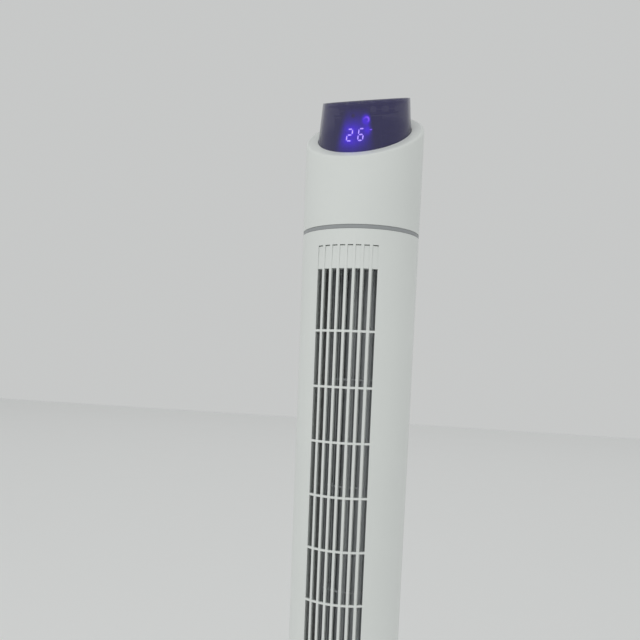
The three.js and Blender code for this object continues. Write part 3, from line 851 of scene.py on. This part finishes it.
def segment_ends(digit, name):
    """Where a segment starts and stops, short of its neighbours."""
    (u0, v0), (u1, v1) = SEGMENTS[name]
    start, end = digit_point(digit, u0, v0), digit_point(digit, u1, v1)
    along = (end - start).normalized()
    return start + along * 0.62, end - along * 0.62


def led_digits():
    """The lit bars, six-sided like a real module's, a little proud of the display film."""
    face = DISPLAY_Y
    parts = []
    for digit, names in DIGITS.items():
        for name in names:
            start, end = segment_ends(digit, name)
            along = (end - start).normalized()
            across = Vector((-along.y, along.x)) * STROKE / 2
            nip = along * STROKE / 2
            outline = [start, start + nip + across, end - nip + across, end, end - nip - across,
                       start + nip - across]
            bm = bmesh.new()
            front = [bm.verts.new((p.x * MM, (face - 0.9) * MM, p.y * MM)) for p in outline]
            back = [bm.verts.new((p.x * MM, (face - 0.3) * MM, p.y * MM)) for p in outline]
            bm.faces.new(front)
            bm.faces.new(back[::-1])
            for i in range(6):
                n = (i + 1) % 6
                bm.faces.new((front[i], front[n], back[n], back[i]))
            parts.append(bm)
    piece = new_object("lit_digits", joined(parts), LIT, "column", smooth=False)
    bevel(piece, 0.12, 1)


NIGHT_LAMP = Vector(((low("lamp_night", X) + high("lamp_night", X)) / 2,
                     (low("lamp_night", Z) + high("lamp_night", Z)) / 2))
DEGREE_LAMP = Vector(((low("lamp_degree", X) + high("lamp_degree", X)) / 2,
                      (low("lamp_degree", Z) + high("lamp_degree", Z)) / 2))
IR_LAMP = Vector(((low("ir_receiver", X) + high("ir_receiver", X)) / 2,
                  (low("ir_receiver", Z) + high("ir_receiver", Z)) / 2))


def near_segment(point, start, end):
    """Distance from a point to a straight piece."""
    along = end - start
    share = max(0.0, min(1.0, (point - start).dot(along) / along.length_squared))
    return (point - start - along * share).length


def display_film():
    """The dark film in front of the module, carrying a painted glow: emission that spreads round the lit
    digits and lamps and fades away, standing in for their light bleeding through it.
    """
    face = DISPLAY_Y - 0.2
    z0, z1 = collar_z(DISPLAY_Y, 9.0), DISPLAY_Z + 29
    columns = FILM_COLUMNS
    rows = 2 * int(z1 - z0) + 1
    lit = {digit: [segment_ends(digit, name) for name in names] for digit, names in DIGITS.items()}
    mesh = bpy.data.meshes.new("display_film")
    verts, faces, glow = [], [], []
    for j in range(rows):
        z = z0 + (z1 - z0) * j / (rows - 1)
        reach = math.sqrt((crown_r(z) - CROWN_WALL - 0.8) ** 2 - face * face)
        for i in range(columns):
            p = Vector((reach * (2 * i / (columns - 1) - 1), z))
            # painted glow: the film's emission here, falling off with distance from the lit segments and the
            # two lamps
            halo = 0.0
            for digit, ends in lit.items():
                nearest = min(near_segment(p, s, e) for s, e in ends)
                halo += DIGIT_GLOW[digit] * math.exp(-nearest / 6.5)
            lamp = 3.2 * math.exp(-(((p - NIGHT_LAMP).length / 3.6) ** 2))
            lamp += 0.9 * math.exp(-(((p - DEGREE_LAMP + Vector((3, 0))).length / 4.2) ** 2))
            edge = min(1.0, (reach - abs(p.x)) / 6, (z1 - z) / 6)
            verts.append((p.x * MM, face * MM, z * MM))
            glow.append((halo + lamp) * max(0.0, edge))
    for j in range(rows - 1):
        for i in range(columns - 1):
            a = j * columns + i
            faces.append((a, a + 1, a + columns + 1, a + columns))
    back = len(verts)
    verts += [(x, y + 0.25 * MM, z) for x, y, z in verts]
    glow += [0.0] * back
    for j in range(rows - 1):
        for i in range(columns - 1):
            a = back + j * columns + i
            faces.append((a, a + columns, a + columns + 1, a + 1))
    rim = [i for i in range(columns)] + [j * columns + columns - 1 for j in range(1, rows)]
    rim += [(rows - 1) * columns + i for i in reversed(range(columns - 1))]
    rim += [j * columns for j in reversed(range(1, rows - 1))]
    for k, one in enumerate(rim):
        two = rim[(k + 1) % len(rim)]
        faces.append((two, one, one + back, two + back))
    mesh.from_pydata(verts, [], faces)
    attribute = mesh.attributes.new("glow", "FLOAT", "POINT")
    attribute.data.foreach_set("value", glow)
    m = Nodes("display_film", (0.006, 0.005, 0.012), 0.5)
    m.vary_roughness(m.noise(500, 2), 0.45, 0.6)
    source = m.tree.nodes.new("ShaderNodeAttribute")
    source.attribute_name = "glow"
    # the painted glow tints the film's emission violet
    tint = m.tree.nodes.new("ShaderNodeMix")
    tint.data_type = "RGBA"
    tint.inputs["A"].default_value = (0, 0, 0, 1)
    tint.inputs["B"].default_value = (0.07, 0.003, 1.0, 1)
    m.tree.links.new(source.outputs["Fac"], tint.inputs["Factor"])
    m.tree.links.new(tint.outputs["Result"], m.shader.inputs["Emission Color"])
    m.set(Emission_Strength=FILM_GLOW)
    mesh.materials.append(m.material)
    piece = bpy.data.objects.new("display_film", mesh)
    bpy.context.scene.collection.objects.link(piece)
    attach(piece, "column")


def lit_marks():
    """The round night mark with its crescent, and the short degree dash."""
    def facing(outline, name, material):
        stand = Matrix.Translation((0, DISPLAY_Y, 0)) @ Matrix.Rotation(math.radians(90), 4, "X")
        piece = new_object(name, prism_bm(outline, 0.3, 0.8, stand), material, "column", smooth=False)
        bevel(piece, 0.1, 1)

    moon = arc(2.9, -60, 160, 24, (NIGHT_LAMP.x, NIGHT_LAMP.y))
    moon += arc(2.6, 150, -50, 20, (NIGHT_LAMP.x - 1.3, NIGHT_LAMP.y - 0.9))
    facing(moon, "night_mark", LIT_LAMP)
    dash = [(DEGREE_LAMP.x + x, DEGREE_LAMP.y + z)
            for x, z in ((-1.3, -0.55), (1.3, -0.35), (1.3, 0.55), (-1.3, 0.35))]
    facing(dash, "degree_mark", LIT_LAMP)
    facing(arc(1.9, 0, 345, 23, (IR_LAMP.x, IR_LAMP.y)), "ir_dome", DIM_RED_GLOW)


# ---- base ----
def base_cover():
    """The domed base, with a rounded foot edge, a soft shoulder and a raised ring under the column."""
    base_r = high("base_cover", X)
    top = high("base_cover", Z)
    bottom = low("base_cover", Z)
    outside = [(base_r, bottom), (base_r, 14), (145, 21.5), (112, 32.5), (74, 46.5), (60, top), (24, top)]
    inside = [(24, top - WALL), (60 - WALL, top - WALL), (74 - WALL, 46.5 - WALL), (112 - WALL, 32.5 - WALL),
              (145 - WALL, 21.5 - WALL), (base_r - WALL, 14 - WALL), (base_r - WALL, bottom)]
    radii = (0.6, 5.0, 14, 60, 30, 2.2, 0.6, 0.6, 2, 30, 60, 10, 4, 0.4)
    profile = fillet(outside + inside, radii, 8)
    piece = turned("base_dome", profile, WHITE, "base", 256)
    hole = bmesh.new()
    bmesh.ops.create_cone(hole, cap_ends=True, segments=32, radius1=4.2 * MM, radius2=4.2 * MM, depth=20 * MM)
    cord_z = (low("cord_grommet", Z) + high("cord_grommet", Z)) / 2
    place = Matrix.Translation((0, base_r * MM, cord_z * MM)) @ Matrix.Rotation(math.radians(90), 4, "X")
    bmesh.ops.transform(hole, matrix=place, verts=hole.verts)
    cut(piece, hole)
    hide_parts("base_cover")


def bottom_cap():
    top = high("bottom_cap", Z)
    bottom = low("bottom_cap", Z)
    outline = [(24, bottom), (63, bottom), (COLUMN_R, top), (56, top), (56, 66), (24, 66)]
    piece = turned("column_foot", fillet(outline, (0.4, 1.6, 0.5, 0.4, 1, 0.4), 5), WHITE, "column",
                   192)
    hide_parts("bottom_cap")


def feet():
    for i in range(1, 6):
        node = f"foot_{i}"
        lowest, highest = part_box(node)
        centre = [(lowest[k] + highest[k]) / 2 / MM for k in (X, Y)]
        top = highest[Z] / MM
        profile = [(0, 0.5), (4, 0.5), (4.4, 0), (6.4, 0), (6.8, 0.5), (8.6, 0.5), (9.0, 0), (10.8, 0),
                   (11.7, 0.5),
                   (12, 1.4), (12, top - 0.4), (11.6, top), (0, top)]
        piece = turned(f"rubber_{node}", profile, RUBBER, "base", 64, centre, closed=False)
        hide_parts(node)


def cross_screw(node, name, radius, out, tip, body):
    """A pan-head screw with a cross recess. out is the way its head faces, tip the point where the head's
    face is."""
    profile = [(0, -14), (1.2, -13), (1.7, -11), (1.7, -1.9), (radius, -1.9), (radius, -1.0),
               (radius * 0.85, -0.35),
               (radius * 0.5, -0.05), (0, 0)]
    bm = revolve_bm(lambda a: profile, 48, False)
    turn = Vector((0, 0, 1)).rotation_difference(out).to_matrix().to_4x4()
    piece = new_object(name, bm, STEEL, body)
    for angle in (0, 90):
        slot = box_bm((radius * 1.15, 0.75, 1.6), (0, 0, -0.2))
        bmesh.ops.rotate(slot, verts=slot.verts, cent=(0, 0, 0),
                         matrix=Matrix.Rotation(math.radians(angle), 3, "Z"))
        cut(piece, slot)
    piece.data.transform(Matrix.Translation(tip * MM) @ turn)
    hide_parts(node)


def screws():
    for i in range(1, 5):
        node = f"shell_screw_{i}"
        lowest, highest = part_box(node)
        z = (lowest[Z] + highest[Z]) / 2 / MM
        out = Vector((lowest[X] + highest[X], lowest[Y] + highest[Y], 0)).normalized()
        tip = out * (COLUMN_R - 0.4) + Vector((0, 0, z))
        cross_screw(node, f"rear_screw_{i}", 3.9, out, tip, "column")
        node = f"base_screw_{i}"
        lowest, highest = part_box(node)
        tip = Vector(((lowest[X] + highest[X]) / 2, (lowest[Y] + highest[Y]) / 2, lowest[Z])) / MM
        cross_screw(node, f"floor_screw_{i}", 4.0, Vector((0, 0, -1)), tip, "base")


# ---- inside ----
def impeller():
    """The cross-flow impeller: rings of curved blades between discs, with closed ends and hubs."""
    bottom, top = low("impeller", Z), high("impeller", Z) + BLADE_RISE
    inner, outer = IMPELLER_R - 9, IMPELLER_R - 0.6
    steps = 5
    centre_line = []
    for k in range(steps + 1):
        share = k / steps
        r = inner + (outer - inner) * share
        lean = math.radians(13) * math.sin(share * math.pi / 2)
        centre_line.append((r, lean))
    parts = []
    for i in range(BLADES):
        start = 2 * math.pi * i / BLADES
        outline = []
        for side in (-0.4, 0.4):
            row = []
            for r, lean in centre_line:
                a = start + lean + side / r
                row.append((r * math.cos(a), IMPELLER_Y + r * math.sin(a)))
            outline += row if side < 0 else row[::-1]
        parts.append(prism_bm(outline, bottom + 0.5, top - 0.5))
    discs = 7
    for i in range(discs):
        z = bottom + i * (top - bottom - 2) / (discs - 1)
        hole, rim = (4.3, IMPELLER_R) if i in (0, discs - 1) else (24, IMPELLER_R - INNER_DISC_INSET)
        ring = [(hole, z), (rim, z), (rim, z + 2), (hole, z + 2)]
        parts.append(revolve_bm(lambda a, p=ring: p, 96, True, (0, IMPELLER_Y)))
    piece = new_object("impeller_blades", joined(parts), IMPELLER, "rotor", smooth=False)
    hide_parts("impeller")


# CAD nodes that keep their shape and get a finished material
CARRIED = {
    "base_plate": DARK, "ballast_ring": IRON, "pivot_post": STEEL, "retainer_nut": STEEL,
    "swivel_bearing": NYLON,
    "cord_grommet": RUBBER, "swing_motor": STEEL, "swing_pinion": NYLON, "turntable": DARK,
    "sector_gear": NYLON,
    "duct_scroll": DUCT, "duct_tongue": DUCT, "duct_floor": DUCT, "duct_roof": DUCT, "fan_motor": STEEL,
    "motor_bracket": STEEL, "top_bearing": NYLON, "wire_harness": RUBBER, "head_deck": WHITE,
    "control_board": BOARD,
    "transformer": IRON, "run_capacitor": DARK, "crown_tray": DARK, "key_board": BOARD,
    "display_board": BOARD,
    "led_display": DARK, "motor_shaft": STEEL, "bearing_pin": STEEL, "lamp_night": DARK, "lamp_degree": DARK,
    "ir_receiver": DIM_RED_GLOW,
}


def carried_nodes():
    for node, material in CARRIED.items():
        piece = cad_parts[node]
        piece.data.materials.clear()
        piece.data.materials.append(material)


front_shell()
rear_shell()
trim_ring()
head_housing()
handle_cup()
crown_lens()
key_panel()
key_caps()
led_digits()
display_film()
lit_marks()
base_cover()
bottom_cap()
feet()
screws()
impeller()
carried_nodes()


# ---- camera, floor and light ----
VIEW_AZIMUTH = 0.2284  # radians the camera stands towards +X of the fan's front
VIEW_DISTANCE = 798.3
VIEW_HEIGHT = RING_TOP - 141.0
VIEW_YAW = -0.04734
VIEW_PITCH = -0.09748
VIEW_ROLL = 0.0390
FOCAL_SHARE = 1.0786  # focal length over the picture's width
FRAME_DROP = 1 / 6  # the frame is the upper square of an upright 3:4 view


def camera():
    forward = Vector((math.sin(VIEW_YAW) * math.cos(VIEW_PITCH), math.cos(VIEW_YAW) * math.cos(VIEW_PITCH),
                      math.sin(VIEW_PITCH)))
    right = Vector((math.cos(VIEW_YAW), -math.sin(VIEW_YAW), 0))
    up = right.cross(forward)
    rolled_right = right * math.cos(VIEW_ROLL) + up * math.sin(VIEW_ROLL)
    rolled_up = -right * math.sin(VIEW_ROLL) + up * math.cos(VIEW_ROLL)
    turn = Matrix.Rotation(VIEW_AZIMUTH, 4, "Z")
    basis = Matrix((rolled_right, rolled_up, -forward)).transposed().to_4x4()
    place = Matrix.Translation((0, -VIEW_DISTANCE * MM, VIEW_HEIGHT * MM))
    data = bpy.data.cameras.new("view")
    data.sensor_width = 36
    data.lens = 36 * FOCAL_SHARE
    data.shift_y = FRAME_DROP
    data.clip_start = 0.01
    cam = bpy.data.objects.new("view", data)
    cam.matrix_world = turn @ place @ basis
    bpy.context.scene.collection.objects.link(cam)
    bpy.context.scene.camera = cam


def area_light(name, place, target, size, power, color):
    data = bpy.data.lights.new(name, "AREA")
    data.shape = "RECTANGLE"
    data.size, data.size_y = size
    data.energy = power
    data.color = color
    lamp = bpy.data.objects.new(name, data)
    lamp.location = place
    lamp.visible_glossy = False
    lamp.rotation_euler = (Vector(target) - Vector(place)).to_track_quat("-Z", "Y").to_euler()
    bpy.context.scene.collection.objects.link(lamp)


def stage():
    bm = bmesh.new()
    bmesh.ops.create_grid(bm, x_segments=1, y_segments=1, size=8)
    mesh = bpy.data.meshes.new("floor")
    bm.to_mesh(mesh)
    bm.free()
    floor_look = Nodes("floor", (0.87, 0.875, 0.87), 0.6)
    floor_look.vary_roughness(floor_look.noise(3, 3), 0.55, 0.7)
    mesh.materials.append(floor_look.material)
    floor = bpy.data.objects.new("floor", mesh)
    bpy.context.scene.collection.objects.link(floor)

    world = bpy.data.worlds.new("studio")
    bpy.context.scene.world = world
    world.use_nodes = True
    world.node_tree.nodes["Background"].inputs["Color"].default_value = (0.572, 0.58, 0.576, 1)
    world.node_tree.nodes["Background"].inputs["Strength"].default_value = 1.0
    area_light("key", (-0.5, -2.7, 1.8), (0, 0, 0.7), (2.4, 2.4), 15, (1.0, 1.0, 0.98))
    area_light("overhead", (0.0, 1.0, 5.0), (0, 1.0, 0), (12.0, 12.0), 68, (0.98, 0.99, 1.0))
    bpy.context.scene.view_settings.view_transform = "Standard"


camera()
stage()
